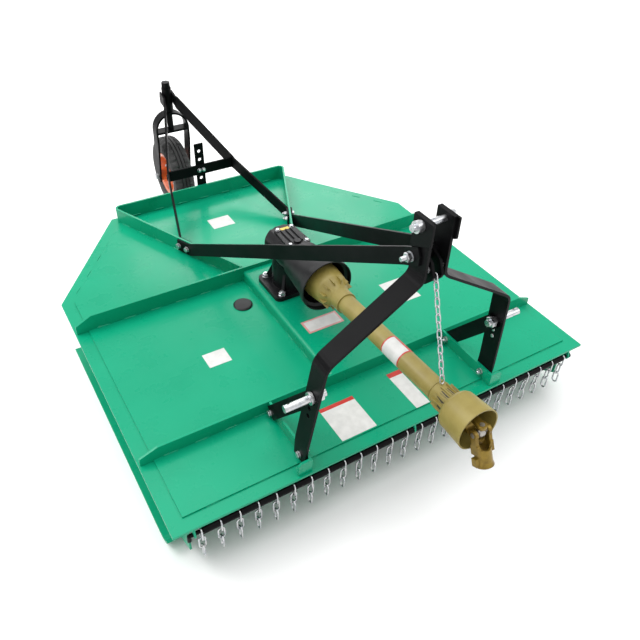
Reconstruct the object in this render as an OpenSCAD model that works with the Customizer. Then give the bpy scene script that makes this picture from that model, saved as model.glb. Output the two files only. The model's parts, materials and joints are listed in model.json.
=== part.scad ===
// Tractor rotary mower: a welded deck on skids, carried by a three point hitch and a castor tail wheel.
// X runs across the machine, +Y points to the rear, and the floor is at Z = 0.

/* [Deck] */
// Width of the deck across the rim
deck_w = 1550; // [1300:10:1900]
// Length of the straight sides, from the front edge
deck_side_l = 1114; // [900:10:1300]
// Length of the deck from the front edge to the rear edge
deck_l = 1600; // [1450:10:1900]
// Width of the rear edge, between the two slanted corners
rear_edge_w = 860; // [760:2:1000]
// Height of the deck's top above the floor
deck_h = 240; // [225:1:300]
// Thickness of the top plate
deck_t = 5; // [3:1:8]
// Width of the rim strip
rim_w = 92; // [70:1:120]
// Width of the rim strip that shows beside the top plate
rim_show = 46; // [30:1:60]
// Thickness of the rim strip
rim_t = 8; // [5:1:12]

/* [Skirts and skids] */
// Distance from the rim's edge in to the skirts
skirt_inset = 48; // [30:1:70]
// Thickness of the skirts
skirt_t = 6; // [4:1:10]
// Depth of the rear skirt below the rim
rear_skirt_d = 120; // [80:1:160]
// Width of a skid's foot
skid_w = 44; // [30:1:60]
// Thickness of a skid
skid_t = 8; // [5:1:12]
// Height of a skid's upright leg
skid_leg_h = 70; // [40:1:100]
// Distance from the front edge to the skid's nose
skid_start = 120; // [80:1:200]

/* [Ribs and rails] */
// Height of the front cross rib and of the ribs at the hitch bars
front_rib_h = 46; // [30:1:60]
// Height of the middle cross rib
mid_rib_h = 60; // [45:1:80]
// Thickness of the ribs
rib_t = 8; // [5:1:12]
// Distance from the front edge to the front cross rib
front_rib_y = 266; // [240:1:320]
// Distance from the front edge to the middle cross rib
mid_rib_y = 918; // [880:1:980]
// Width of the raised channel that carries the gearbox
channel_w = 242; // [220:1:300]
// Height of the channel's top above the deck
channel_h = 44; // [30:1:55]
// Thickness of the channel's sheet
channel_t = 6; // [4:1:8]
// Height of the rail round the rear tray
rail_h = 62; // [45:1:80]
// Half width of the tray at its rear corners
tray_rear_x = 412; // [380:1:430]
// Half width of the tray where it meets the middle cross rib
tray_front_x = 124; // [110:1:160]
// Distance from the rear rail's back face to the deck's rear edge
tray_gap = 11; // [4:1:30]
// Diameter of the plug over the inspection hole
plug_d = 72; // [60:1:90]
// Distance of the inspection hole from the middle of the deck
plug_off = 188; // [170:1:230]

/* [Hitch] */
// Distance between the shoulders of the two lower link pins
lower_span = 683; // [660:1:710]
// Height of the top link pin above the lower link pins
mast_h = 460; // [440:1:480]
// Height of the lower link pins above the deck
lower_pin_z = 270; // [240:1:300]
// Diameter of the lower link pins
lower_pin_d = 22; // [18:0.5:28]
// Free length of a lower link pin, from its shoulder
lower_pin_l = 76; // [65:1:100]
// Diameter of the top link pin
top_pin_d = 19; // [16:0.5:25]
// Gap between the two sides of the mast
mast_gap = 58; // [50:1:80]
// Width of the hitch bars, front to back
leg_w = 65; // [50:1:80]
// Thickness of the hitch bars
leg_t = 8; // [6:1:12]
// Thickness of the plates that double the mast
mast_plate_t = 6; // [4:1:10]
// Distance from the deck's front edge to the middle of a hitch bar's foot
leg_foot_y = 58; // [44:1:80]
// Distance from the deck's front edge to the middle of a hitch bar's upright
leg_top_y = 30; // [20:1:60]
// Height of the bend between a leg's upright and its slope
leg_bend_z = 392; // [340:1:420]
// Height of the bend between a leg's slope and the mast
mast_bend_z = 572; // [540:1:600]
// How far a leg splays outwards below its bend
leg_splay = 40; // [10:1:60]

/* [Braces] */
// Width of the rear braces and of the tail arms
brace_w = 50; // [40:1:60]
// Thickness of the rear braces and of the tail arms
brace_t = 8; // [6:1:12]
// Distance from the deck's front edge to the bolts that join the tray, braces and tail arms
tail_bolt_y = 1201; // [1150:1:1260]

/* [Drive] */
// Distance from the deck's front edge to the rotor's axis
rotor_y = 765; // [750:1:790]
// Height of the input shaft above the deck
input_z = 211; // [200:1:225]
// Angle by which the drive shaft rises towards the tractor
shaft_rise = 2.6; // [0:0.1:4]
// Diameter of the gearbox case
case_d = 136; // [128:1:150]
// Length of the gearbox case
case_l = 156; // [140:1:170]
// Diameter of the black guard's mouth
input_guard_d = 194; // [180:1:210]
// Distance of the black guard's mouth behind the deck's front edge
input_guard_y = 498; // [460:1:520]
// Diameter of the drive shaft's guard tube
guard_tube_d = 64; // [58:1:68]
// Diameter of the bell at the tractor end
bell_d = 134; // [120:1:160]
// Distance of the bell's mouth ahead of the deck's front edge
bell_y = 257; // [220:1:300]
// Angle by which the tractor yoke hangs down at rest
yoke_droop = 66; // [40:1:66]
// Diameter of the bore in the tractor yoke
yoke_bore_d = 35; // [30:0.5:40]

/* [Rotor] */
// Distance from the rotor's axis to a blade's pivot
pivot_r = 378; // [320:1:400]
// Length of a blade beyond its pivot
blade_reach = 305; // [260:1:315]
// Width of a blade
blade_w = 80; // [60:1:100]
// Thickness of a blade
blade_t = 10; // [8:1:14]
// Width of the blade carrier
carrier_w = 110; // [90:1:140]
// Thickness of the blade carrier
carrier_t = 15; // [12:1:20]
// Depth of the blade carrier's underside below the deck
carrier_depth = 150; // [130:1:160]

/* [Tail wheel] */
// Distance from the deck's front edge to the castor's upright axis
castor_y = 1933; // [1880:1:1990]
// Height of the tail arms' ends above the deck
castor_z = 347; // [300:1:380]
// Distance by which the wheel trails the upright axis
trail = 45; // [30:1:100]
// Diameter of the tail wheel's tyre
tyre_d = 360; // [300:1:380]
// Width of the tail wheel's tyre
tyre_w = 100; // [80:1:110]
// Diameter of the tail wheel's rim
rim_d = 205; // [160:1:240]
// Gap between the two arms of the fork
fork_gap = 146; // [125:1:160]
// Diameter of the wheel's axle
axle_d = 20; // [16:1:25]

/* [Chain guard] */
// Number of hanging chains
chain_n = 25; // [20:1:26]
// Distance from one chain to the next
chain_pitch = 58; // [45:0.5:58]
// Number of links in a chain
link_n = 3; // [2:1:3]
// Diameter of the chain's wire
wire_d = 5.5; // [4:0.5:6]
// Inside length of a link
link_l = 41; // [36:0.5:43]
// Inside width of a link
link_w = 13; // [13:0.5:16]
// Diameter of the rod that the chains hang on
guard_rod_d = 12; // [8:1:12]
// Diameter of the spacers between the chains
spacer_d = 24; // [18:1:26]
// Height of the rod below the deck's top
guard_rod_drop = 36; // [34:1:44]

/* [Hidden] */
$fn = 48;

paint = [0.05, 0.68, 0.5];
frame_black = [0.09, 0.09, 0.1];
casting_black = [0.12, 0.12, 0.13];
zinc = [0.78, 0.79, 0.8];
guard_yellow = [0.68, 0.58, 0.16];
rim_orange = [0.82, 0.3, 0.12];
rubber = [0.12, 0.12, 0.12];

// Gap left between a part and its seat, so that curved faces don't share a surface
seat = 0.3;
// Radial clearance of a shaft that turns in its bore
run = 0.05;

half_w = deck_w / 2;
rim_z = -deck_t;
under_z = -deck_t - rim_t;
skirt_x = half_w - skirt_inset;
guard_rod_y = 5;
guard_rod_z = -guard_rod_drop;
lug_x = (chain_n - 1) / 2 * chain_pitch + link_w / 2 + wire_d + 5;
lug_t = 6;
// The middle lug stands between two chains
mid_lug_x = (chain_n % 2) * chain_pitch / 2 - lug_t / 2;
// Point where the drive shaft's line meets the gearbox's line
hinge_y = rotor_y - 165;
// Distance along the drive shaft from there to the bell's mouth, and to the joint's cross
mouth_s = (hinge_y + bell_y) / cos(shaft_rise);
joint_s = mouth_s + 9;
joint_y = hinge_y - joint_s * cos(shaft_rise);
yoke_hub_r = 24;
yoke_flare = 3;
collar_step = 3;
yoke_gap = 36;
ear_t = 10;
ear_r = 14;
journal_d = 14;
yoke_bridge = 44;
yoke_len = 98;
axle_y = castor_y + trail;
axle_z = tyre_d / 2 - deck_h;
tray_y = deck_l - tray_gap;
tray_corner_r = 26;
neck_d = 118;
neck_hole_d = neck_d + 8;
plug_x = -plug_off;
plug_y = rotor_y + 18;
top_pin_z = lower_pin_z + mast_h;
leg_in = mast_gap / 2;
pin_y = leg_foot_y + (leg_top_y - leg_foot_y) * lower_pin_z / leg_bend_z;
pin_collar_t = 9;
leg_foot_z = 70;
leg_foot_x = lower_span / 2 - pin_collar_t - leg_t
    + leg_splay * (lower_pin_z - leg_foot_z) / (leg_bend_z - leg_foot_z);
// Inner face of a hitch bar's splayed part, at a height z
function leg_x(z) = leg_foot_x - leg_splay * (z - leg_foot_z) / (leg_bend_z - leg_foot_z);

// The origin lies on the floor under the middle of the whole machine
front_y = joint_y - yoke_len * cos(yoke_droop) - (yoke_hub_r + yoke_flare) * sin(yoke_droop);
rear_y = axle_y + tyre_d / 2;
mid_y = (front_y + rear_y) / 2;

// Outline of the deck, from the front left corner, anticlockwise seen from above
deck_outline = [[-half_w, 0], [half_w, 0], [half_w, deck_side_l], [rear_edge_w / 2, deck_l],
    [-rear_edge_w / 2, deck_l], [-half_w, deck_side_l]];

function unit(v) = v / norm(v);
function left(v) = [-v[1], v[0]];
function side(a, b) = left(unit(b - a));
function mitre(m, n) = (m + n) / (1 + m * n);
// Moves a closed outline inwards by d
function inset(pts, d) = [for (i = [0:len(pts) - 1])
    let (n = len(pts), p = pts[(i + n - 1) % n], q = pts[i], r = pts[(i + 1) % n])
    q + d * mitre(side(p, q), side(q, r))];
// Moves an open line sideways by d
function shift(pts, d) = [for (i = [0:len(pts) - 1])
    let (a = max(i, 1), b = min(i, len(pts) - 2))
    pts[i] + d * mitre(side(pts[a - 1], pts[a]), side(pts[b], pts[b + 1]))];
function back(pts) = [for (i = [len(pts) - 1:-1:0]) pts[i]];
// Outline of a flat bar that follows a line, from a to b beside it
function band(pts, a, b) = concat(shift(pts, a), back(shift(pts, b)));
// Rounds the bends of an open line, from a distance d on each side of them
function soft(pts, d) = concat([pts[0]], [for (i = [1:len(pts) - 2], t = [0:0.25:1])
    let (q = pts[i], a = q + d * unit(pts[i - 1] - q), b = q + d * unit(pts[i + 1] - q))
    pow(1 - t, 2) * a + 2 * t * (1 - t) * q + t * t * b], [pts[len(pts) - 1]]);
function arc(c, r, a0, a1, n) = [for (i = [0:n])
    let (a = a0 + (a1 - a0) * i / n) c + r * [cos(a), sin(a)]];

module rest() {
    translate([0, -mid_y, deck_h]) children();
}

// Turns a 2D outline in Y and Z into a plate of thickness t from x on
module plate_x(x, t) {
    translate([x, 0, 0]) rotate([90, 0, 90]) linear_extrude(t) children();
}

// Turns a 2D outline in X and Z into a plate of thickness t from y on
module plate_y(y, t) {
    translate([0, y + t, 0]) rotate([90, 0, 0]) linear_extrude(t) children();
}

// A cylinder along X, from x for length l
module rod_x(d, x, l) {
    translate([x, 0, 0]) rotate([0, 90, 0]) cylinder(d = d, h = l);
}

// A cylinder along Y, from y for length l
module rod_y(d, y, l) {
    translate([0, y, 0]) rotate([-90, 0, 0]) cylinder(d = d, h = l);
}

// Revolves an outline of [radius, distance] about the Y axis
module turned_y(pts) {
    rotate([-90, 0, 0]) rotate_extrude() polygon(pts);
}

module round_plate(w, l, t, r) {
    linear_extrude(t) {
        square([w - 2 * r, l], center = true);
        square([w, l - 2 * r], center = true);
        for (x = [-1, 1], y = [-1, 1]) translate([x * (w / 2 - r), y * (l / 2 - r)]) circle(r = r);
    }
}

// One chain link, hanging in the X and Z plane round the origin
module link(wire, inner_l, inner_w) {
    r = (inner_w + wire) / 2;
    h = inner_l - inner_w;
    for (s = [0, 180]) {
        rotate([0, s, 0]) translate([0, 0, h / 2]) rotate([90, 0, 0])
            rotate_extrude(angle = 180) translate([r, 0]) circle(d = wire);
        rotate([0, s, 0]) translate([r, 0, -h / 2]) cylinder(d = wire, h = h);
    }
}

// Deck

module deck_plate() {
    color(paint) difference() {
        translate([0, 0, -deck_t]) linear_extrude(deck_t) polygon(inset(deck_outline, rim_show));
        translate([0, rotor_y, -deck_t - 1]) cylinder(d = neck_hole_d, h = deck_t + 2);
        translate([plug_x, plug_y, -deck_t - 1]) cylinder(d = plug_d - 16, h = deck_t + 2);
    }
}

// Lug that carries the chain guard's rod
module rod_lug(x) {
    r = guard_rod_d / 2 + 6;
    difference() {
        plate_x(x, lug_t) union() {
            translate([guard_rod_y, guard_rod_z]) circle(r = r);
            polygon([[guard_rod_y - r, guard_rod_z], [guard_rod_y - 5, under_z + 1], [40, under_z + 1],
                [guard_rod_y + r, guard_rod_z]]);
        }
        translate([0, guard_rod_y, guard_rod_z]) rod_x(guard_rod_d + 2 * seat, x - 1, 8);
    }
}

module deck_rim() {
    color(paint) {
        translate([0, 0, under_z]) difference() {
            linear_extrude(rim_t) polygon(deck_outline);
            translate([0, 0, -1]) linear_extrude(rim_t + 2) polygon(inset(deck_outline, rim_w));
        }
        for (x = [-lug_x - lug_t, mid_lug_x, lug_x]) rod_lug(x);
    }
}

module skirt() {
    rear = inset(deck_outline, skirt_inset)[2][1] - skirt_t * 0.7;
    color(paint) plate_x(skirt_x - skirt_t, skirt_t)
        polygon([[34, under_z], [34, -150], [skid_start + 50, -deck_h + skid_t], [rear - 40, -deck_h + skid_t],
            [rear, -deck_h + 50], [rear, under_z]]);
}

module rear_skirt() {
    o = inset(deck_outline, skirt_inset);
    color(paint) translate([0, 0, under_z - rear_skirt_d]) linear_extrude(rear_skirt_d)
        polygon(band([o[2], o[3], o[4], o[5]], 0, skirt_t));
}

module skid() {
    nose = arc([skid_start + 70, 90 - deck_h], 90, -150, -90, 6);
    color(paint) {
        plate_x(skirt_x, skid_w) polygon(band(concat(nose, [[deck_side_l, -deck_h]]), skid_t, 0));
        plate_x(skirt_x, skid_t) polygon([[skid_start + 60, -deck_h + 4], [skid_start + 60, skid_leg_h - deck_h],
            [deck_side_l - 20, skid_leg_h - deck_h], [deck_side_l - 20, -deck_h + 4]]);
    }
}

// Ribs and rails

// A rib right across the deck, stepped down onto the rim and cut back at its ends
module cross_rib(y, h) {
    e = half_w - rim_show;
    end = half_w - 6;
    cut = end - 58;
    color(paint) plate_y(y, rib_t)
        polygon([[-end, rim_z], [-e, rim_z], [-e, 0], [e, 0], [e, rim_z], [end, rim_z], [end, h / 2],
            [cut, h], [-cut, h], [-end, h / 2]]);
}

module gearbox_channel() {
    r = 12;
    w = channel_w / 2;
    h = channel_h;
    color(paint) difference() {
        translate([0, front_rib_y + rib_t, 0]) rotate([-90, 0, 0]) mirror([0, 1, 0])
            linear_extrude(mid_rib_y - front_rib_y - rib_t)
            polygon(concat([[w, 0]], arc([w - r, h - r], r, 0, 90, 4), arc([-w + r, h - r], r, 90, 180, 4),
                [[-w, 0], [-w + channel_t, 0], [-w + channel_t, h - channel_t], [w - channel_t, h - channel_t],
                [w - channel_t, 0]]));
        translate([0, rotor_y, 0]) cylinder(d = neck_hole_d, h = 100);
    }
}

module tray_rail() {
    c = tray_corner_r;
    path = concat([[tray_front_x, mid_rib_y + rib_t]],
        arc([tray_rear_x - c, tray_y - c], c, 0, 90, 4), arc([-tray_rear_x + c, tray_y - c], c, 90, 180, 4),
        [[-tray_front_x, mid_rib_y + rib_t]]);
    color(paint) difference() {
        translate([0, 0, rim_z]) linear_extrude(rail_h - rim_z) polygon(band(path, 0, rib_t));
        translate([0, 0, rim_z - 1]) linear_extrude(1 - rim_z) polygon(inset(deck_outline, rim_show));
    }
}

// Rib that a hitch bar is bolted to, with a plate across its front end
module leg_rib() {
    h = front_rib_h - 2;
    color(paint) {
        plate_x(leg_foot_x - rib_t, rib_t)
            polygon([[8, rim_z], [rim_show, rim_z], [rim_show, 0], [front_rib_y, 0], [front_rib_y, h], [8, h]]);
        plate_y(8, rib_t) polygon([[leg_foot_x - rib_t, rim_z], [leg_foot_x + 38, rim_z],
            [leg_foot_x + 38, h - 10], [leg_foot_x + 28, h], [leg_foot_x - rib_t, h]]);
    }
}

module access_plug() {
    color(frame_black) translate([plug_x, plug_y, 0]) {
        rotate_extrude() polygon([[0, 0], [plug_d / 2, 0], [plug_d / 2, 3], [plug_d / 2 - 5, 7], [0, 8]]);
        translate([0, 0, -deck_t]) cylinder(d = plug_d - 17, h = deck_t + 1);
    }
}

// Hitch

// The lower mast bolt, which the rear braces, the spacer and the lug share
mast_bolt_y = leg_top_y + 22;
mast_bolt_z = top_pin_z - 103;
mast_rise = 20;
bend_r = 22;
// Pin that the drive shaft guard's chain hangs on
hang_y = mast_bolt_y - 54;
hang_z = mast_bolt_z - 40;
hang_d = 8;

// Line of a hitch bar's inner face in X and Z, from the mast to the foot
leg_line = soft([[leg_in, top_pin_z + mast_rise], [leg_in, mast_bend_z], [leg_x(leg_bend_z), leg_bend_z],
    [leg_foot_x, leg_foot_z], [leg_foot_x, 1]], bend_r);
// Line of the middle of a hitch bar in Y and Z
leg_lean = [[leg_foot_y, -20], [leg_foot_y, 0], [leg_top_y, leg_bend_z], [leg_top_y, top_pin_z + 40]];

module hitch_leg() {
    color(frame_black) difference() {
        intersection() {
            plate_y(-100, 300) polygon(band(leg_line, 0, leg_t));
            plate_x(0, 500) polygon(band(leg_lean, -leg_w / 2, leg_w / 2));
        }
        translate([0, pin_y, lower_pin_z]) rod_x(lower_pin_d, 200, 300);
        for (z = [42, 70]) translate([0, pin_y + 3, lower_pin_z - z]) rod_x(14, 200, 300);
        translate([0, pin_y, lower_pin_z]) rod_x(pin_flange_d + 2, lower_span / 2 - pin_collar_t, 60);
        translate([0, leg_top_y, top_pin_z]) rod_x(top_pin_d, 0, 100);
    }
}

// Plate that doubles the hitch bar at the mast
module mast_plate() {
    front = leg_top_y - leg_w / 2 - 10;
    rear = leg_top_y + leg_w / 2;
    color(frame_black) difference() {
        plate_x(leg_in + leg_t, mast_plate_t) polygon([[front, top_pin_z + mast_rise], [front, top_pin_z - 40],
            [rear, top_pin_z - 78], [rear, top_pin_z + mast_rise]]);
        translate([0, leg_top_y, top_pin_z]) rod_x(top_pin_d, 0, 100);
    }
}

module top_link_pin() {
    reach = leg_in + leg_t + mast_plate_t;
    color(zinc) translate([0, leg_top_y, top_pin_z]) {
        rod_x(top_pin_d, -reach - 30, 2 * reach + 44);
        for (x = [-reach - 19, reach]) rod_x(32, x, 14);
    }
}

// Spacer between the mast's sides, with the two plates of the chain's bracket
module mast_spacer() {
    cheek_x = 10;
    cheek_t = 8;
    color(frame_black) {
        translate([-leg_in, mast_bolt_y, mast_bolt_z]) rotate([0, 90, 0])
            cylinder(d = 44, h = mast_gap, $fn = 6);
        for (x = [-cheek_x - cheek_t, cheek_x]) plate_x(x, cheek_t) translate([mast_bolt_y, mast_bolt_z])
            polygon([[16, 14], [-10, 22], [-50, 0], [-66, -36], [-60, -50], [-38, -74], [-18, -52], [16, -16]]);
        translate([0, hang_y, hang_z]) rod_x(hang_d, -cheek_x - 1, 2 * cheek_x + 2);
    }
}

stay_t = 8;
// Face of the nut on a lower pin, inboard of the leg and its stay
nut_x = lower_span / 2 - pin_collar_t - leg_t - stay_t;
nut_t = 16;
pin_flange_d = 38;

module lower_pin() {
    shoulder = lower_span / 2;
    color(zinc) translate([0, pin_y, lower_pin_z]) {
        rod_x(lower_pin_d, nut_x - nut_t - 10, shoulder + lower_pin_l - nut_x + nut_t + 10);
        rod_x(pin_flange_d, shoulder - pin_collar_t, pin_collar_t);
        translate([nut_x - nut_t, 0, 0]) rotate([0, 90, 0]) cylinder(d = 36, h = nut_t, $fn = 6);
    }
}

// Stay from the rear of a leg's rib up to the lower pin, on the inboard side of the leg
module leg_stay() {
    z0 = 44;
    z1 = 185;
    z2 = lower_pin_z + 60;
    color(frame_black) difference() {
        intersection() {
            plate_x(0, 600) polygon(band([[front_rib_y - 26, 22], [pin_y, lower_pin_z]], -24, 24));
            plate_y(-100, 600) polygon(band([[leg_foot_x + stay_t, 0], [leg_foot_x + stay_t, z0],
                [leg_x(z1), z1], [leg_x(z2), z2]], 0, stay_t));
        }
        translate([0, pin_y, lower_pin_z]) rod_x(pin_flange_d + 4, nut_x - 60, 60);
        translate([0, pin_y, lower_pin_z]) rod_x(lower_pin_d, 200, 300);
    }
}

// Direction of the tray's right rail, and the place on it where the brace and the tail arm are bolted
rail_lean = unit([tray_rear_x - tray_front_x, tray_y - tray_corner_r - mid_rib_y - rib_t]);
tail_bolt_x = tray_front_x + (tail_bolt_y - mid_rib_y - rib_t) * rail_lean[0] / rail_lean[1];
rail_out = [rail_lean[1], -rail_lean[0]];

// Rear brace, from the mast to the outside of the tray's rail
module rear_brace() {
    p = [tail_bolt_x, tail_bolt_y];
    fx = leg_in + leg_t;
    fy = mast_bolt_y;
    fz = mast_bolt_z;
    foot_z = 33;
    fall = (fz - foot_z) / (p[1] - 34 - fy);
    plan = [[fx, fy - 34], [fx, fy + 26], p - rail_lean * 34, p + rail_lean * 30];
    side_line = [[fy - 34, fz + 34 * fall], [p[1] - 34, foot_z], [p[1] + 34, foot_z]];
    color(frame_black) intersection() {
        linear_extrude(2000, center = true) polygon(band(plan, 0, -brace_t));
        plate_x(-1000, 2000) polygon(band(side_line, -brace_w / 2, brace_w / 2));
    }
}

// Tail wheel frame

collar_d = 44;
post_d = 28;
tray_strap_t = 4;

module tail_arm() {
    p = [tail_bolt_x, tail_bolt_y] - rail_out * rib_t;
    end_x = collar_d / 2 + brace_t + seat;
    plan = [p - rail_lean * 30, p + rail_lean * 30, [bar_half, bar_y], [end_x, castor_y - 36],
        [end_x, castor_y + 18]];
    side_line = [[p[1] - 30, 32], [p[1] + 30, 32], [bar_y, bar_z], [castor_y - 36, castor_z - 12],
        [castor_y + 18, castor_z]];
    color(frame_black) intersection() {
        linear_extrude(2000, center = true) polygon(band(plan, 0, brace_t));
        plate_x(-1000, 2000) polygon(band(side_line, -brace_w / 2, brace_w / 2));
    }
}

// Middle of the crossbar between the tail arms, and half the distance between the arms there
bar_y = tray_y - brace_t;
bar_z = 140;
bar_half = 160;

module tail_crossbar() {
    h = brace_w / 2 - 2;
    w = bar_half - 1.5 * brace_t;
    color(frame_black) plate_y(bar_y, brace_t)
        polygon([[-w, bar_z - h], [w, bar_z - h], [w, bar_z + h], [-w, bar_z + h]]);
}

module tail_strap() {
    w = 42;
    color(frame_black) difference() {
        translate([-w / 2, tray_y, 0]) cube([w, tray_strap_t, 262]);
        for (z = [bar_z - 44, bar_z + 46, bar_z + 86]) translate([0, 0, z]) rod_y(15, bar_y, 60);
    }
}

module castor_collar() {
    color(frame_black) translate([0, castor_y, castor_z - 66]) difference() {
        cylinder(d = collar_d, h = 110);
        translate([0, 0, -1]) cylinder(d = post_d + 2 * run, h = 112);
    }
}

module tail_fork() {
    r_in = fork_gap / 2;
    arm_t = 9;
    arm_w = 52;
    top = castor_z - 66 - 2;
    arch_z = top - r_in - arm_t;
    color(frame_black) translate([0, castor_y, 0]) {
        translate([0, arm_w / 2, arch_z]) rotate([90, 0, 0]) rotate_extrude(angle = 180)
            translate([r_in, 0]) square([arm_t, arm_w]);
        for (s = [-1, 1]) difference() {
            plate_x(s > 0 ? r_in : -r_in - arm_t, arm_t)
                polygon([[-arm_w / 2, arch_z], [-arm_w / 2, arch_z - 60], [trail - 24, axle_z - 26],
                    [trail + 24, axle_z - 26], [trail + 26, axle_z + 10], [arm_w / 2, arch_z - 30],
                    [arm_w / 2, arch_z]]);
            translate([0, trail, axle_z]) rod_x(axle_d, -200, 400);
        }
        translate([-r_in, -arm_w / 2, arch_z - 14]) cube([2 * r_in, arm_w, 10]);
        translate([0, 0, arch_z - 10]) cylinder(d = post_d, h = castor_z + 62 - arch_z + 10);
        translate([0, 0, castor_z + 46]) cylinder(d = 40, h = 4);
        translate([0, 0, castor_z + 50]) cylinder(d = 40, h = 20, $fn = 6);
    }
}

module tail_axle() {
    reach = fork_gap / 2 + 9;
    color(zinc) translate([0, axle_y, axle_z]) {
        rod_x(axle_d, -reach - 4, 2 * reach + 18);
        translate([-reach - 13, 0, 0]) rotate([0, 90, 0]) cylinder(d = 34, h = 13, $fn = 6);
        translate([reach, 0, 0]) rotate([0, 90, 0]) cylinder(d = 34, h = 16, $fn = 6);
    }
}

module tail_rim() {
    h = tyre_w / 2;
    r = rim_d / 2;
    color(rim_orange) translate([0, axle_y, axle_z]) rotate([0, 90, 0]) rotate_extrude()
        polygon([[axle_d / 2 + run, -fork_gap / 2 + 2], [26, -fork_gap / 2 + 2], [26, -8], [r - 22, -8],
            [r - 14, -h + 12], [r, -h + 8], [r, h - 8], [r - 14, h - 12], [r - 22, 8], [26, 8],
            [26, fork_gap / 2 - 2], [axle_d / 2 + run, fork_gap / 2 - 2]]);
}

module tail_tyre() {
    h = tyre_w / 2;
    r0 = rim_d / 2 + seat;
    r1 = tyre_d / 2;
    color(rubber) translate([0, axle_y, axle_z]) rotate([0, 90, 0]) rotate_extrude()
        polygon([[r0, -h + 10], [r0 + 14, -h + 3], [(r0 + r1) / 2, -h], [r1 - 20, -h + 2], [r1 - 6, -h + 14],
            [r1, -h + 28], [r1, h - 28], [r1 - 6, h - 14], [r1 - 20, h - 2], [(r0 + r1) / 2, h],
            [r0 + 14, h - 3], [r0, h - 10]]);
}

// Gearbox and its guard

case_y = rotor_y - 93;
snout_d = 120;
snout_y = case_y - 34;
// Seat of the cover, cut flat across the case
cover_z = input_z + case_d / 2 - 16;

module gearbox_housing() {
    flange_w = 190;
    flange_l = 168;
    flange_t = 16;
    color(casting_black) difference() {
        union() {
            translate([0, rotor_y, channel_h]) round_plate(flange_w, flange_l, flange_t, 22);
            translate([0, rotor_y, -60]) cylinder(d = neck_d, h = channel_h + 60);
            translate([0, rotor_y, channel_h]) cylinder(d1 = 132, d2 = 124, h = input_z - channel_h);
            for (a = [45:90:315]) translate([0, rotor_y, channel_h + flange_t - 1]) rotate([90, 0, a])
                linear_extrude(10, center = true) polygon([[40, 0], [96, 0], [54, 90], [40, 90]]);
            translate([0, 0, input_z]) rod_y(case_d, case_y, case_l);
            translate([0, 0, input_z]) rod_y(case_d - 26, case_y + case_l - 2, 10);
            translate([0, 0, input_z]) rod_y(snout_d, snout_y, case_y - snout_y + 6);
        }
        translate([0, rotor_y, -61]) cylinder(d = 45 + 2 * run, h = 40);
        on_shaft() rod_y(36 + 2 * run, snout_y - hinge_y - 6, 36);
        translate([-60, case_y - 1, cover_z]) cube([120, case_l + 12, 30]);
    }
}

module gearbox_cover() {
    t = 8;
    y0 = case_y + 8;
    y1 = case_y + case_l - 16;
    boss_y = y0 + 24;
    color(casting_black) translate([0, 0, cover_z]) {
        linear_extrude(t) polygon([[-36, y0], [36, y0], [46, y0 + 12], [40, y1 - 8], [32, y1], [-32, y1],
            [-40, y1 - 8], [-46, y0 + 12]]);
        for (x = [-20, 0, 20]) translate([x - 2.5, boss_y, t - 1]) cube([5, y1 - boss_y - 22, 6]);
        translate([0, boss_y, t - 1]) cylinder(d = 26, h = 8);
    }
}

module input_guard() {
    y1 = case_y - 1;
    r0 = snout_d / 2 + seat;
    r1 = input_guard_d / 2;
    y0 = input_guard_y;
    color(casting_black) translate([0, 0, input_z])
        turned_y([[r0, y1], [r0 + 13, y1], [r1 - 10, y0 + 36], [r1 - 10, y0 + 26], [r1, y0 + 20], [r1, y0],
            [r1 - 4, y0], [r1 - 4, y0 + 18], [r1 - 14, y0 + 24], [r1 - 14, y0 + 38], [r0 + 8, y1 - 8],
            [r0, y1 - 8]]);
}

// Drive shaft, its guard and its tractor joint

// Puts parts on the drive shaft's line, with Y measured from the point where it meets the gearbox's line
module on_shaft() {
    translate([0, hinge_y, input_z]) rotate([-shaft_rise, 0, 0]) children();
}

module shaft_guard() {
    r = guard_tube_d / 2;
    rb = bell_d / 2;
    wall = 4;
    shoulder = 94;
    rear = 808;
    cone = rear - 132;
    bearing_r = 19 + run;
    bearing_y = 122;
    color(guard_yellow) on_shaft() translate([0, -mouth_s, 0])
        turned_y([[rb, 0], [rb - 6, shoulder - 8], [rb - 10, shoulder], [r + 8, shoulder + 5],
            [r + collar_step, shoulder + 56], [r + collar_step, shoulder + 70], [r, shoulder + 70],
            [r, cone - 40], [r + 5, cone - 40], [r + 5, cone], [rb - 10, cone + 46], [rb - 8, cone + 54],
            [rb - 1, rear - 18], [rb - 1, rear], [rb - 1 - wall, rear], [rb - 1 - wall, rear - 18],
            [rb - 13, cone + 52], [r + 2, cone + 4], [r - wall, cone - 10], [r - wall, bearing_y + 12],
            [bearing_r, bearing_y + 12], [bearing_r, bearing_y], [r - wall, bearing_y],
            [r - wall, shoulder + 8], [r + wall, shoulder], [rb - 14, shoulder - 4],
            [rb - 10, shoulder - 10], [rb - wall, 0]]);
}

// One fork of the universal joint, with its hub towards -Y and its ears on the X axis
module yoke(hub_r, hub_l) {
    gap = yoke_gap / 2;
    reach = gap + ear_t;
    crotch = yoke_bridge - 14;
    arm_r = ear_r - 3;
    difference() {
        union() {
            for (x = [-reach, gap]) plate_x(x, ear_t) union() {
                circle(r = ear_r);
                translate([-crotch - 1, -arm_r]) square([crotch + 1, 2 * arm_r]);
            }
            translate([-reach, -yoke_bridge - 16, -ear_r]) cube([2 * reach, 30, 2 * ear_r]);
            rod_y(2 * hub_r, -yoke_bridge - hub_l, hub_l);
        }
        rod_x(journal_d + 2 * run, -60, 120);
        translate([0, -crotch, -60]) cylinder(r = gap, h = 120);
    }
}

module drive_shaft() {
    shaft_d = 38;
    start = yoke_bridge + 30 - joint_s;
    stop = snout_y - hinge_y - 2;
    color(guard_yellow) on_shaft() {
        translate([0, -joint_s, 0]) rotate([0, 90, 180]) yoke(21, 36);
        rod_y(shaft_d, start, stop - start);
        rod_y(shaft_d - 2, stop - 20, 48);
    }
}

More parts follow.
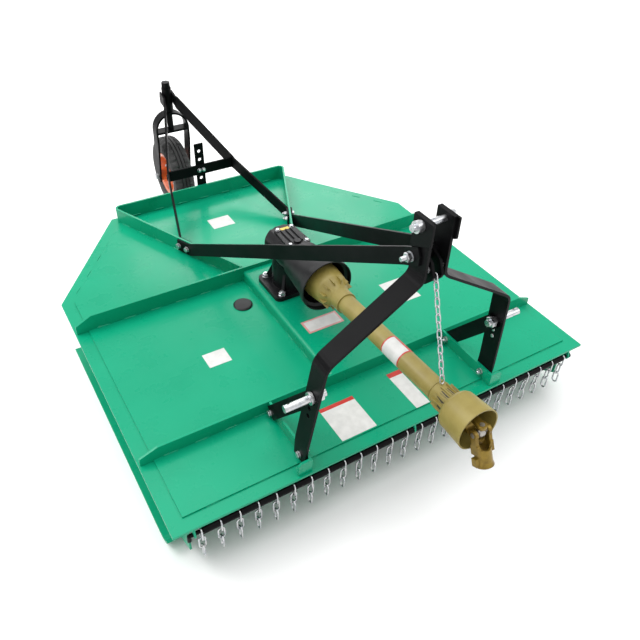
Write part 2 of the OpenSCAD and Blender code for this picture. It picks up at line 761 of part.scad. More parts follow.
module joint_cross() {
    reach = yoke_gap / 2 + ear_t + 1;
    color(zinc) on_shaft() translate([0, -joint_s, 0]) {
        sphere(d = 28);
        rod_x(journal_d, -reach, 2 * reach);
        rotate([0, 90, 0]) rod_x(journal_d, -reach, 2 * reach);
    }
}

module tractor_yoke() {
    flare_l = 16;
    joint_z = input_z + joint_s * sin(shaft_rise);
    color(guard_yellow) translate([0, joint_y, joint_z]) rotate([yoke_droop, 0, 0]) difference() {
        union() {
            yoke(yoke_hub_r, yoke_len - yoke_bridge);
            translate([0, -yoke_len, 0]) rotate([-90, 0, 0])
                cylinder(r1 = yoke_hub_r + yoke_flare, r2 = yoke_hub_r - 1, h = flare_l);
            translate([-yoke_hub_r - 10, -yoke_len + 6, -9]) cube([16, 24, 18]);
        }
        rod_y(yoke_bore_d, -yoke_len - 1, yoke_len - yoke_bridge + 14);
    }
}

// Chains

// Chain from the mast's bracket to the collar of the drive shaft's guard
module guard_chain() {
    wire = 4;
    inner_w = 9;
    n = 14;
    s = 154 - mouth_s;
    r = guard_tube_d / 2 + collar_step + 2 * seat;
    up = hang_d / 2 - wire / 2 + seat;
    top = [hang_y, hang_z];
    end = [hinge_y + s * cos(shaft_rise) + r * sin(shaft_rise),
        input_z - s * sin(shaft_rise) + r * cos(shaft_rise)];
    pitch = (norm(top - end) + up - wire / 2 - 2 * seat) / n;
    lean = atan2(top[0] - end[0], top[1] - end[1]);
    color(zinc) translate([0, top[0], top[1]]) rotate([-lean, 0, 0])
        for (i = [0:n - 1]) translate([0, 0, up + wire / 2 - pitch * (i + 0.5)])
            rotate([0, 0, 90 * (i + 1)]) link(wire, pitch + seat, inner_w);
}

module guard_rod() {
    color(frame_black) translate([0, guard_rod_y, guard_rod_z]) {
        rod_x(guard_rod_d, -lug_x - 18, 2 * lug_x + 36);
        translate([-lug_x - 18, 0, -22]) cylinder(d = guard_rod_d, h = 22);
        translate([-lug_x - 18, 0, 0]) sphere(d = guard_rod_d);
        translate([lug_x + 10, 0, 0]) rod_x(22, 0, 4);
    }
}

chain_x = [for (i = [0:chain_n - 1]) (i - (chain_n - 1) / 2) * chain_pitch];

module guard_spacers() {
    gap = wire_d + 3;
    color(frame_black) translate([0, guard_rod_y, guard_rod_z]) for (i = [0:chain_n - 2])
        difference() {
            rod_x(spacer_d, chain_x[i] + gap / 2, chain_pitch - gap);
            rod_x(guard_rod_d + 2 * seat, chain_x[i], chain_pitch);
            translate([mid_lug_x - seat, -spacer_d, -spacer_d])
                cube([lug_t + 2 * seat, 2 * spacer_d, 2 * spacer_d]);
        }
}

module chain_curtain() {
    color(zinc) for (x = chain_x, k = [0:link_n - 1])
        translate([x, guard_rod_y, guard_rod_z + guard_rod_d / 2 + seat - link_l / 2 - k * (link_l - seat)])
            rotate([0, 0, 90 * (k + 1)]) link(wire_d, link_l, link_w);
}

// Rotor

module blade_carrier() {
    z = -carrier_depth;
    color(frame_black) translate([0, rotor_y, z]) {
        linear_extrude(carrier_t) {
            square([carrier_w, 2 * pivot_r], center = true);
            for (s = [-1, 1]) translate([0, s * pivot_r]) circle(d = carrier_w);
        }
        cylinder(d = 116, h = carrier_depth - 62);
        cylinder(d = 45, h = carrier_depth - 25);
        translate([0, 0, -26]) cylinder(d = 60, h = 27, $fn = 6);
        for (s = [-1, 1]) translate([0, s * pivot_r, 0]) {
            translate([0, 0, -blade_t - 4]) cylinder(d = 30, h = blade_t + 5);
            translate([0, 0, -blade_t - 16]) cylinder(d = 48, h = 12);
            translate([0, 0, carrier_t]) cylinder(d = 44, h = 16, $fn = 6);
        }
    }
}

module blade() {
    z = -carrier_depth - blade_t - 2;
    color(zinc) translate([0, rotor_y + pivot_r, z]) difference() {
        union() {
            cylinder(d = blade_w, h = blade_t);
            translate([-blade_w / 2, 0, 0]) cube([blade_w, blade_reach - 60, blade_t]);
            translate([0, blade_reach - 60, 0]) plate_x(-blade_w / 2, blade_w)
                polygon([[0, 0], [34, -18], [60, -18], [60, -18 + blade_t], [34, -18 + blade_t], [0, blade_t]]);
        }
        translate([0, 0, -1]) cylinder(d = 30 + 2 * run, h = blade_t + 2);
    }
}

rest() deck_plate();
rest() deck_rim();
rest() mirror([1, 0, 0]) skirt();  // left_skirt
rest() skirt();  // right_skirt
rest() rear_skirt();
rest() mirror([1, 0, 0]) skid();  // left_skid
rest() skid();  // right_skid
rest() cross_rib(front_rib_y, front_rib_h);  // front_cross_rib
rest() cross_rib(mid_rib_y, mid_rib_h);  // middle_cross_rib
rest() gearbox_channel();
rest() tray_rail();
rest() mirror([1, 0, 0]) leg_rib();  // left_leg_rib
rest() leg_rib();  // right_leg_rib
rest() access_plug();
rest() gearbox_housing();
rest() gearbox_cover();
rest() input_guard();
rest() mirror([1, 0, 0]) hitch_leg();  // left_hitch_leg
rest() hitch_leg();  // right_hitch_leg
rest() mirror([1, 0, 0]) leg_stay();  // left_leg_stay
rest() leg_stay();  // right_leg_stay
rest() mirror([1, 0, 0]) lower_pin();  // left_lower_pin
rest() lower_pin();  // right_lower_pin
rest() mirror([1, 0, 0]) mast_plate();  // left_mast_plate
rest() mast_plate();  // right_mast_plate
rest() top_link_pin();
rest() mast_spacer();
rest() mirror([1, 0, 0]) rear_brace();  // left_brace
rest() rear_brace();  // right_brace
rest() mirror([1, 0, 0]) tail_arm();  // left_tail_arm
rest() tail_arm();  // right_tail_arm
rest() tail_crossbar();
rest() tail_strap();
rest() castor_collar();
rest() guard_rod();
rest() guard_spacers();
rest() shaft_guard();
rest() guard_chain();
rest() drive_shaft();
rest() joint_cross();
rest() tractor_yoke();
rest() blade_carrier();
rest() translate([0, 2 * rotor_y, 0]) mirror([0, 1, 0]) blade();  // front_blade
rest() blade();  // rear_blade
rest() tail_fork();
rest() tail_axle();
rest() tail_rim();
rest() tail_tyre();
rest() chain_curtain();
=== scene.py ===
"""Looks of the tractor rotary mower: finishes, bolts, welds, labels, tread, light and camera."""
import json
import math
import random

import bmesh
import bpy
from mathutils import Matrix, Vector


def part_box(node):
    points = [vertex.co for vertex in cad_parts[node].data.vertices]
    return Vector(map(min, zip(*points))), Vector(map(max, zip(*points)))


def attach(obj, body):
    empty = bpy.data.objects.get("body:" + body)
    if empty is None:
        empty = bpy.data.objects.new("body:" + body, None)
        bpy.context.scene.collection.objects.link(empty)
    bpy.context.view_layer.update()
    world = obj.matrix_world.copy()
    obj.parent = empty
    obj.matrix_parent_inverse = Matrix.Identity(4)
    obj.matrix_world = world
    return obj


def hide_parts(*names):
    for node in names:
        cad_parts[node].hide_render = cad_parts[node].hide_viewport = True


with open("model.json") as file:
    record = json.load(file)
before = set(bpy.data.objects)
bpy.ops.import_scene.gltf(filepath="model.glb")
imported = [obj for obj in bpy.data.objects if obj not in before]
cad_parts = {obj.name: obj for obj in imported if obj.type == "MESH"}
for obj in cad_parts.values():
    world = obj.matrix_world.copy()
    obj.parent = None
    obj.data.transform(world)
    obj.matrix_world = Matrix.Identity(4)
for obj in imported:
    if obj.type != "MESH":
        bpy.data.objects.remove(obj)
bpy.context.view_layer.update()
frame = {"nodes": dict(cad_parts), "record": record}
nodes = frame["nodes"]
random.seed(7)

# Places are in millimetres from the middle of the deck's front edge, at the deck's top
RIM_SHOW = 0.046
DECK_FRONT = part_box("deck_plate")[0].y - RIM_SHOW
DECK_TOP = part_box("deck_plate")[1].z
# Line of the drive shaft, which rises towards the tractor
HINGE_Y, HINGE_Z, RISE = 600, 211, math.radians(2.6)
BELL_Y = 257
MOUTH_S = (HINGE_Y + BELL_Y) / math.cos(RISE)
# Faces that bolts, labels and trim stand on
CHANNEL_Z = 44
FLANGE_Z = 60
COVER_Z = 271
LEG_FOOT_X, LEG_T, RIB_T = 349.3, 8, 8
MAST_FACE_X = 45
TOP_PIN_Y, TOP_PIN_Z = 30, 730
LOWER_PIN_Y, LOWER_PIN_Z = 38.7, 270
BAR_Y, BAR_Z, STRAP_Y = 1581, 140, 1593
RIM_Z = -5
TUBE_R = 32


def place(x, y, z):
    return Vector((x / 1000, DECK_FRONT + y / 1000, DECK_TOP + z / 1000))


def on_shaft(x, s, z):
    """A place by its distance s along the drive shaft from the mouth of the guard's front bell."""
    y = s - MOUTH_S
    return place(x, HINGE_Y + y * math.cos(RISE) + z * math.sin(RISE),
                 HINGE_Z - y * math.sin(RISE) + z * math.cos(RISE))


# Camera, solved from the straight edges of the deck
CAMERA_AT = Vector((-0.9682, DECK_FRONT - 0.98853, 1.8249))
CAMERA_AZIMUTH = math.radians(-32.42)
CAMERA_ELEVATION = math.radians(40.69)
CAMERA_ROLL = math.radians(2.18)
FOCAL_PIXELS = 661.3
FRAME_PIXELS = 640


# Shader helpers

def new_material(name):
    mat = bpy.data.materials.new(name)
    mat.use_nodes = True
    tree = mat.node_tree
    shader = tree.nodes["Principled BSDF"]
    return mat, tree, shader


def link(tree, out, into):
    tree.links.new(out, into)


def noise(tree, scale, detail=2.0, rough=0.5, stretch=None):
    coords = tree.nodes.new("ShaderNodeTexCoord")
    tex = tree.nodes.new("ShaderNodeTexNoise")
    tex.inputs["Scale"].default_value = scale
    tex.inputs["Detail"].default_value = detail
    tex.inputs["Roughness"].default_value = rough
    if stretch:
        mapping = tree.nodes.new("ShaderNodeMapping")
        mapping.inputs["Scale"].default_value = stretch
        link(tree, coords.outputs["Object"], mapping.inputs["Vector"])
        link(tree, mapping.outputs["Vector"], tex.inputs["Vector"])
    else:
        link(tree, coords.outputs["Object"], tex.inputs["Vector"])
    return tex.outputs["Fac"]


def ranged(tree, value, low, high, start=0.3, end=0.7):
    node = tree.nodes.new("ShaderNodeMapRange")
    node.inputs["From Min"].default_value = start
    node.inputs["From Max"].default_value = end
    node.inputs["To Min"].default_value = low
    node.inputs["To Max"].default_value = high
    link(tree, value, node.inputs["Value"])
    return node.outputs["Result"]


def two_colours(tree, value, first, second, start=0.35, end=0.65):
    ramp = tree.nodes.new("ShaderNodeValToRGB")
    ramp.color_ramp.elements[0].position = start
    ramp.color_ramp.elements[1].position = end
    ramp.color_ramp.elements[0].color = (*first, 1)
    ramp.color_ramp.elements[1].color = (*second, 1)
    link(tree, value, ramp.inputs["Fac"])
    return ramp.outputs["Color"]


def base_colour(tree, shader, value, first, second):
    link(tree, two_colours(tree, value, first, second), shader.inputs["Base Color"])


def bumps(tree, shader, layers, edge=0.0):
    """Chains bump layers of (height, strength, distance) on edges rounded by a radius in metres."""
    normal = None
    if edge:
        bevel = tree.nodes.new("ShaderNodeBevel")
        bevel.samples = 4
        bevel.inputs["Radius"].default_value = edge
        normal = bevel.outputs["Normal"]
    for height, strength, distance in layers:
        bump = tree.nodes.new("ShaderNodeBump")
        bump.inputs["Strength"].default_value = strength
        bump.inputs["Distance"].default_value = distance
        link(tree, height, bump.inputs["Height"])
        if normal:
            link(tree, normal, bump.inputs["Normal"])
        normal = bump.outputs["Normal"]
    link(tree, normal, shader.inputs["Normal"])


# Materials

def deck_green():
    mat, tree, shader = new_material("deck_green")
    broad = noise(tree, 2.2, 3)
    fine = noise(tree, 420, 2)
    dust = noise(tree, 9, 5, 0.6)
    base_colour(tree, shader, broad, (0.001, 0.29, 0.152), (0.002, 0.33, 0.176))
    link(tree, ranged(tree, dust, 0.24, 0.34), shader.inputs["Roughness"])
    shader.inputs["Specular IOR Level"].default_value = 0.2
    shader.inputs["Coat Weight"].default_value = 0.08
    shader.inputs["Coat Roughness"].default_value = 0.1
    bumps(tree, shader, [(broad, 0.35, 0.006), (fine, 0.05, 0.0004)], 0.0015)
    return mat


def frame_black():
    mat, tree, shader = new_material("frame_black")
    soft = noise(tree, 14, 4)
    fine = noise(tree, 520, 2)
    base_colour(tree, shader, soft, (0.002, 0.002, 0.0025), (0.005, 0.005, 0.0055))
    link(tree, ranged(tree, soft, 0.34, 0.46), shader.inputs["Roughness"])
    shader.inputs["Specular IOR Level"].default_value = 0.07
    bumps(tree, shader, [(fine, 0.1, 0.0003)], 0.0012)
    return mat


def casting_black():
    mat, tree, shader = new_material("casting_black")
    grain = noise(tree, 260, 4, 0.6)
    soft = noise(tree, 18, 3)
    base_colour(tree, shader, soft, (0.004, 0.004, 0.005), (0.01, 0.01, 0.011))
    link(tree, ranged(tree, soft, 0.24, 0.36), shader.inputs["Roughness"])
    shader.inputs["Specular IOR Level"].default_value = 0.18
    bumps(tree, shader, [(grain, 0.3, 0.0012)], 0.003)
    return mat


def black_plastic():
    mat, tree, shader = new_material("black_plastic")
    soft = noise(tree, 30, 4)
    fine = noise(tree, 700, 2)
    base_colour(tree, shader, soft, (0.006, 0.006, 0.007), (0.012, 0.012, 0.013))
    link(tree, ranged(tree, soft, 0.38, 0.5), shader.inputs["Roughness"])
    shader.inputs["Specular IOR Level"].default_value = 0.3
    bumps(tree, shader, [(fine, 0.12, 0.0003)], 0.0015)
    return mat


def zinc():
    mat, tree, shader = new_material("zinc")
    cloud = noise(tree, 60, 4, 0.6)
    fine = noise(tree, 900, 3)
    base_colour(tree, shader, cloud, (0.42, 0.44, 0.47), (0.62, 0.62, 0.62))
    link(tree, ranged(tree, cloud, 0.22, 0.4), shader.inputs["Roughness"])
    shader.inputs["Metallic"].default_value = 1.0
    bumps(tree, shader, [(fine, 0.15, 0.0002)], 0.0006)
    return mat


def guard_yellow():
    mat, tree, shader = new_material("guard_yellow")
    soft = noise(tree, 22, 5, 0.6)
    fine = noise(tree, 650, 2)
    base_colour(tree, shader, soft, (0.25, 0.195, 0.042), (0.3, 0.24, 0.06))
    link(tree, ranged(tree, soft, 0.36, 0.5), shader.inputs["Roughness"])
    bumps(tree, shader, [(fine, 0.15, 0.0003)], 0.0012)
    return mat


def yoke_yellow():
    mat, tree, shader = new_material("yoke_yellow")
    soft = noise(tree, 45, 5, 0.65)
    grain = noise(tree, 300, 4)
    base_colour(tree, shader, soft, (0.16, 0.1, 0.014), (0.27, 0.18, 0.025))
    link(tree, ranged(tree, soft, 0.3, 0.45), shader.inputs["Roughness"])
    shader.inputs["Metallic"].default_value = 0.55
    bumps(tree, shader, [(grain, 0.3, 0.001)], 0.003)
    return mat


def shaft_steel():
    mat, tree, shader = new_material("shaft_steel")
    soft = noise(tree, 50, 4)
    lines = noise(tree, 40, 3, 0.6, (1, 0.04, 1))
    base_colour(tree, shader, soft, (0.28, 0.26, 0.23), (0.45, 0.43, 0.4))
    link(tree, ranged(tree, soft, 0.28, 0.42), shader.inputs["Roughness"])
    shader.inputs["Metallic"].default_value = 1.0
    bumps(tree, shader, [(lines, 0.1, 0.0005)], 0.001)
    return mat


def blade_steel():
    mat, tree, shader = new_material("blade_steel")
    scale = noise(tree, 30, 6, 0.65)
    fine = noise(tree, 400, 3)
    base_colour(tree, shader, scale, (0.1, 0.1, 0.11), (0.3, 0.29, 0.28))
    link(tree, ranged(tree, scale, 0.35, 0.6), shader.inputs["Roughness"])
    shader.inputs["Metallic"].default_value = 0.9
    bumps(tree, shader, [(fine, 0.2, 0.0004)], 0.001)
    return mat


def rim_orange():
    mat, tree, shader = new_material("rim_orange")
    soft = noise(tree, 25, 4)
    fine = noise(tree, 500, 2)
    base_colour(tree, shader, soft, (0.62, 0.11, 0.02), (0.72, 0.15, 0.03))
    link(tree, ranged(tree, soft, 0.28, 0.4), shader.inputs["Roughness"])
    shader.inputs["Coat Weight"].default_value = 0.4
    shader.inputs["Coat Roughness"].default_value = 0.12
    bumps(tree, shader, [(fine, 0.08, 0.0003)], 0.0015)
    return mat


def tyre_rubber():
    mat, tree, shader = new_material("tyre_rubber")
    soft = noise(tree, 35, 5, 0.6)
    fine = noise(tree, 800, 2)
    base_colour(tree, shader, soft, (0.012, 0.012, 0.012), (0.028, 0.028, 0.028))
    link(tree, ranged(tree, soft, 0.6, 0.8), shader.inputs["Roughness"])
    bumps(tree, shader, [(fine, 0.2, 0.0004)], 0.002)
    return mat


def label_face(name, first, second):
    mat, tree, shader = new_material(name)
    soft = noise(tree, 40, 3)
    fine = noise(tree, 600, 2)
    base_colour(tree, shader, soft, first, second)
    link(tree, ranged(tree, soft, 0.3, 0.42), shader.inputs["Roughness"])
    bumps(tree, shader, [(fine, 0.05, 0.0002)])
    return mat


LABEL_WHITE = label_face("label_white", (0.58, 0.58, 0.56), (0.66, 0.66, 0.64))
LABEL_RED = label_face("label_red", (0.42, 0.02, 0.015), (0.52, 0.03, 0.02))
LABEL_PINK = label_face("label_pink", (0.6, 0.26, 0.24), (0.68, 0.32, 0.3))
LABEL_YELLOW = label_face("label_yellow", (0.62, 0.45, 0.04), (0.72, 0.54, 0.06))
# Near black that stands for painted shade inside the guard's slots and the pins' linchpin holes
SLOT_SHADE = label_face("painted_slot_shade", (0.008, 0.007, 0.003), (0.014, 0.012, 0.006))

MATERIALS = {
    "deck_paint": deck_green(), "frame_paint": frame_black(), "casting": casting_black(),
    "black_plastic": black_plastic(), "zinc": zinc(), "guard_yellow": guard_yellow(),
    "yoke_yellow": yoke_yellow(), "shaft_steel": shaft_steel(), "blade_steel": blade_steel(),
    "rim_orange": rim_orange(), "tyre": tyre_rubber(),
}


def finish_nodes():
    """Gives each CAD node the material of its slot in the record."""
    for part in frame["record"]["subparts"]:
        node = nodes[part["node"]]
        node.data.materials.clear()
        node.data.materials.append(MATERIALS[part["material_slot"]])


# Mesh helpers

def publish(bm, name, body, slot, material=None, crease=35):
    """Turns a bmesh in metres into a piece that rides on a body."""
    bmesh.ops.recalc_face_normals(bm, faces=bm.faces)
    for face in bm.faces:
        face.smooth = True
    mesh = bpy.data.meshes.new(name)
    bm.to_mesh(mesh)
    bm.free()
    mesh.set_sharp_from_angle(angle=math.radians(crease))
    obj = bpy.data.objects.new(name, mesh)
    bpy.context.scene.collection.objects.link(obj)
    mesh.materials.append(material or MATERIALS[slot])
    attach(obj, body)
    return obj


def basis(axis):
    """A turn whose Z lies along axis."""
    axis = Vector(axis).normalized()
    side = Vector((0, 0, 1)) if abs(axis.z) < 0.9 else Vector((1, 0, 0))
    across = side.cross(axis).normalized()
    return Matrix((across, axis.cross(across), axis)).transposed().to_4x4()


def lathe(bm, profile, at, axis, segments=24, turn=0.0):
    """Revolves [radius, height] pairs in millimetres about axis at a point in metres."""
    frame_of = Matrix.Translation(at) @ basis(axis)
    rings = []
    for radius, height in profile:
        if radius < 1e-6:
            rings.append([bm.verts.new(frame_of @ Vector((0, 0, height / 1000)))])
            continue
        ring = []
        for i in range(segments):
            angle = 2 * math.pi * (i + turn) / segments
            spot = Vector((radius * math.cos(angle), radius * math.sin(angle), height)) / 1000
            ring.append(bm.verts.new(frame_of @ spot))
        rings.append(ring)
    for low, high in zip(rings, rings[1:]):
        for i in range(segments):
            j = (i + 1) % segments
            if len(low) == 1 and len(high) > 1:
                bm.faces.new((low[0], high[i], high[j]))
            elif len(high) == 1 and len(low) > 1:
                bm.faces.new((low[i], low[j], high[0]))
            elif len(low) > 1:
                bm.faces.new((low[i], low[j], high[j], high[i]))


def hex_nut(bm, at, axis, across=19.0, height=8.0, stub=0.0):
    """A washer, a chamfered hexagon and a threaded stub, standing on a surface."""
    washer = 2.0
    lathe(bm, [(0, 0), (across * 0.62, 0), (across * 0.62, washer), (0, washer)], at, axis, 24)
    corner = across / 2 / math.cos(math.pi / 6)
    top = washer + height
    lathe(bm, [(0, washer), (corner, washer), (corner, top - 1.2), (corner * 0.88, top), (0, top)],
          at, axis, 6, 0.25)
    if stub:
        radius = across * 0.29
        pitch = 1.6
        profile = [(radius, top - 1)]
        for i in range(int(stub / pitch)):
            profile += [(radius, top + i * pitch), (radius - 0.7, top + (i + 0.5) * pitch)]
        profile += [(radius - 1, top + stub), (0, top + stub)]
        lathe(bm, profile, at, axis, 16)


def block(bm, origin, across, along, up):
    """A block with one corner at origin and three edges, in metres."""
    spots = [bm.verts.new(origin + across * i + along * j + up * k)
             for i in (0, 1) for j in (0, 1) for k in (0, 1)]
    for face in ((0, 1, 3, 2), (4, 6, 7, 5), (0, 4, 5, 1), (2, 3, 7, 6), (0, 2, 6, 4), (1, 5, 7, 3)):
        bm.faces.new([spots[i] for i in face])


def plate(bm, x0, x1, y0, y1, z0, z1):
    """A flat block between two corners in millimetres."""
    low, high = place(x0, y0, z0), place(x1, y1, z1)
    size = high - low
    block(bm, low, Vector((size.x, 0, 0)), Vector((0, size.y, 0)), Vector((0, 0, size.z)))


def tube(bm, rings):
    """Joins closed rings of as many points into a tube with both ends shut."""
    count = len(rings[0])
    for low, high in zip(rings, rings[1:]):
        for i in range(count):
            j = (i + 1) % count
            bm.faces.new((low[i], low[j], high[j], high[i]))
    bm.faces.new(rings[0])
    bm.faces.new(rings[-1])


def bead(bm, start, end, width=0.0035):
    """A rippled weld bead from start to end, half sunk in the corner that it lies in."""
    run = end - start
    side = run.cross(Vector((0, 0, 1)))
    side = side.normalized() if side.length > 1e-6 else Vector((1, 0, 0))
    up = side.cross(run).normalized()
    steps = max(4, int(run.length / 0.004))
    rings = []
    for i in range(steps + 1):
        size = width * (1 + 0.14 * math.sin(i * 2.4) + random.uniform(-0.08, 0.08))
        if i in (0, steps):
            size *= 0.45
        middle = start + run * (i / steps)
        rings.append([bm.verts.new(middle + side * (size * math.cos(a)) + up * (size * math.sin(a)))
                      for a in (math.pi * k / 3 for k in range(6))])
    tube(bm, rings)


def stitches(bm, start, end, length=0.045, gap=0.06, width=0.0035):
    """Weld beads of one length, evenly spaced along a line."""
    run = end - start
    count = max(1, int((run.length + gap) / (length + gap)))
    space = run.length / count
    for i in range(count):
        a = start + run.normalized() * (i * space + (space - length) / 2)
        bead(bm, a, a + run.normalized() * length, width)


# Labels, which are left blank

LABELS = [
    # name, x0, x1, y0, y1, width of the band at the rear end
    ("label_front_left", -211, -84, 50, 193, 15),
    ("label_front_right", 68, 122, 46, 216, 20),
    ("label_left", -432, -350, 534, 603, 0),
    ("label_tray", -70, 30, 1308, 1386, 0),
    ("label_right", 330, 436, 501, 635, 0),
]
LABEL_T = 0.7


def label(name, slot, material, x0, x1, y0, y1, z0, z1):
    bm = bmesh.new()
    plate(bm, x0, x1, y0, y1, z0, z1)
    publish(bm, name, "deck", slot, material)


def labels():
    for name, x0, x1, y0, y1, band in LABELS:
        label(name, "deck_paint", LABEL_WHITE, x0, x1, y0, y1 - band, 0, LABEL_T)
        if band:
            label(name + "_band", "deck_paint", LABEL_RED, x0, x1, y1 - band, y1, 0, LABEL_T)
    face = CHANNEL_Z + LABEL_T
    label("label_channel_border", "deck_paint", LABEL_PINK, -77, 66, 478, 543, CHANNEL_Z, face)
    label("label_channel", "deck_paint", LABEL_WHITE, -70, 59, 485, 536, face, face + 0.4 * LABEL_T)
    label("cover_tag", "casting", LABEL_YELLOW, -17, 17, 792, 806, COVER_Z, COVER_Z + 1)


def tube_patch(name, material, s0, s1, a0, a1):
    """A thin curved sticker on the guard's tube, between two angles about its axis."""
    bm = bmesh.new()
    rows = []
    steps = 24
    outside, inside = TUBE_R + 0.4, TUBE_R - 1
    for k in range(steps + 1):
        a = math.radians(a0 + (a1 - a0) * k / steps)
        rows.append([bm.verts.new(on_shaft(r * math.cos(a), s, r * math.sin(a)))
                     for r, s in ((outside, s0), (outside, s1), (inside, s1), (inside, s0))])
    tube(bm, rows)
    publish(bm, name, "deck", "guard_yellow", material)


def shaft_sticker():
    tube_patch("tube_sticker", LABEL_WHITE, 318, 392, 70, 250)
    tube_patch("tube_sticker_band", LABEL_RED, 318, 392, -20, 70)
    tube_patch("tube_sticker_front", LABEL_RED, 313, 318, -20, 250)
    tube_patch("tube_sticker_rear", LABEL_RED, 392, 397, -20, 250)


# Bolts

def deck_bolts():
    bm = bmesh.new()
    for x in (-66, 66):
        for y in (700, 830):
            hex_nut(bm, place(x, y, FLANGE_Z), (0, 0, 1), 22, 10, 6)
    publish(bm, "flange_bolts", "deck", "zinc")
    bm = bmesh.new()
    for x, y in ((-33, 695), (33, 695), (-28, 799), (28, 799)):
        hex_nut(bm, place(x, y, COVER_Z), (0, 0, 1), 13, 5)
    publish(bm, "cover_bolts", "deck", "zinc")
    bm = bmesh.new()
    bolt_z = 22
    for side in (-1, 1):
        for y in (58, 240):
            hex_nut(bm, place(side * (LEG_FOOT_X - RIB_T), y, bolt_z), (-side, 0, 0), 19, 9, 5)
            hex_nut(bm, place(side * (LEG_FOOT_X + LEG_T), y, bolt_z), (side, 0, 0), 19, 7)
    publish(bm, "leg_bolts", "deck", "zinc")


def hitch_bolts():
    bm = bmesh.new()
    for side in (-1, 1):
        hex_nut(bm, place(side * MAST_FACE_X, 52, 627), (side, 0, 0), 24, 13, 16 if side < 0 else 8)
        hex_nut(bm, place(side * 18, 12, 603), (side, 0, 0), 17, 8, 5)
        for z in (228, 200):
            # The leg splays 40 mm over a height of 322 mm
            x = 324.5 + 40 * (LOWER_PIN_Z - z) / 322
            lathe(bm, [(0, -3), (6.6, -3), (6.6, 1), (5, 2), (0, 2)], place(side * x, 41.6, z),
                  (-side, 0, 0.12), 20)
    for x, washer_t in ((-45.6, 2.4), (-48, 2.2)):
        lathe(bm, [(10, 0), (15, 0), (15, washer_t), (10, washer_t)], place(x, TOP_PIN_Y, TOP_PIN_Z),
              (1, 0, 0), 28)
    publish(bm, "mast_bolts", "deck", "zinc")
    # Dark discs on the lower pins: painted shade inside their linchpin holes
    bm = bmesh.new()
    for side in (-1, 1):
        for turn in (1, -1):
            lathe(bm, [(0, 9), (4, 9), (4, 11.25), (0, 11.25)], place(side * 402, LOWER_PIN_Y, LOWER_PIN_Z),
                  (0, turn * 0.5, turn * 0.87), 16)
    publish(bm, "linchpin_hole_shade", "deck", "frame_paint", SLOT_SHADE)


def tail_bolts():
    bm = bmesh.new()
    # The tray's rail runs 288 mm out over 637 mm of length
    lean = Vector((288, 637, 0)).normalized()
    out = Vector((lean.y, -lean.x, 0))
    for side in (-1, 1):
        mirror = Matrix.Diagonal((side, 1, 1))
        for step in (-22, 22):
            foot = Vector((248.3, 1201, 32)) + lean * step
            for offset, facing, height, stub in ((8, 1, 8, 0), (-16, -1, 10, 6)):
                spot = mirror @ (foot + out * offset)
                hex_nut(bm, place(*spot), mirror @ (out * facing), 19, height, stub)
    for x in (-10, 10):
        hex_nut(bm, place(x, STRAP_Y, BAR_Z), (0, 1, 0), 15, 7)
        hex_nut(bm, place(x, BAR_Y, BAR_Z), (0, -1, 0), 15, 8, 4)
    publish(bm, "tail_frame_bolts", "deck", "zinc")


# Drive shaft guard

def spokes(first):
    """Twelve pairs of unit steps about the drive shaft, outwards and across, in metres for a millimetre."""
    middle = on_shaft(0, 0, 0)
    for k in range(12):
        a = math.radians(30 * k + first)
        radial = on_shaft(math.cos(a), 0, math.sin(a)) - middle
        yield radial, on_shaft(-math.sin(a), 0, math.cos(a)) - middle


def guard_trim():
    along = on_shaft(0, 1, 0) - on_shaft(0, 0, 0)
    bm = bmesh.new()
    for radial, across in spokes(15):
        for s, length, low, high in ((100, 48, 33, 41.5), (690, 34, 42, 57)):
            corner = on_shaft(0, s, 0) + radial * low - across * 1.5
            block(bm, corner, across * 3, along * length, radial * (high - low))
    publish(bm, "guard_fins", "deck", "guard_yellow")
    # Dark blocks set into the bell: painted shade inside its slots
    bm = bmesh.new()
    for radial, across in spokes(0):
        for s, length, low, slope in ((103, 34, 34.0, -0.1), (684, 28, 34.6, 0.43)):
            corner = on_shaft(0, s, 0) + radial * low - across * 4
            block(bm, corner, across * 8, along * length + radial * (slope * length), radial * 5.5)
    publish(bm, "guard_slot_shade", "deck", "guard_yellow", SLOT_SHADE)
    bm = bmesh.new()
    lathe(bm, [(31.5, 0), (34.5, 0), (34.5, 6), (31.5, 6)], on_shaft(0, 640, 0), along, 48)
    lathe(bm, [(31.5, 0), (33.4, 0), (33.4, 3), (31.5, 3)], on_shaft(0, 168, 0), along, 48)
    publish(bm, "guard_rings", "deck", "guard_yellow")


# Welds

def welds():
    bm = bmesh.new()
    for y in (266, 274, 918, 926):
        for x0, x1 in ((-725, -130), (130, 725)):
            stitches(bm, place(x0, y, 0), place(x1, y, 0))
    for side in (-1, 1):
        stitches(bm, place(side * 121, 276, 0), place(side * 121, 916, 0))
        rib_x = side * (LEG_FOOT_X - RIB_T)
        stitches(bm, place(rib_x, 50, 0), place(rib_x, 262, 0), 0.03, 0.04)
        stitches(bm, place(side * 124.5, 930, 0), place(side * 411, 1560, 0))
        stitches(bm, place(side * 729, 60, RIM_Z), place(side * 729, 1100, RIM_Z), 0.04, 0.12, 0.002)
        stitches(bm, place(side * 729, 1128, RIM_Z), place(side * 404, 1554, RIM_Z), 0.04, 0.08, 0.002)
    stitches(bm, place(-380, BAR_Y, 0), place(380, BAR_Y, 0))
    stitches(bm, place(-720, 46, RIM_Z), place(720, 46, RIM_Z), 0.04, 0.12, 0.002)
    publish(bm, "deck_welds", "deck", "deck_paint", None, 60)
    bm = bmesh.new()
    for side in (-1, 1):
        stitches(bm, place(side * 160, BAR_Y, 118), place(side * 160, BAR_Y, 162), 0.03, 0.01)
        bead(bm, place(side * 22, 1905, 350), place(side * 22, 1945, 352))
    publish(bm, "tail_welds", "deck", "frame_paint", None, 60)


# Tail wheel

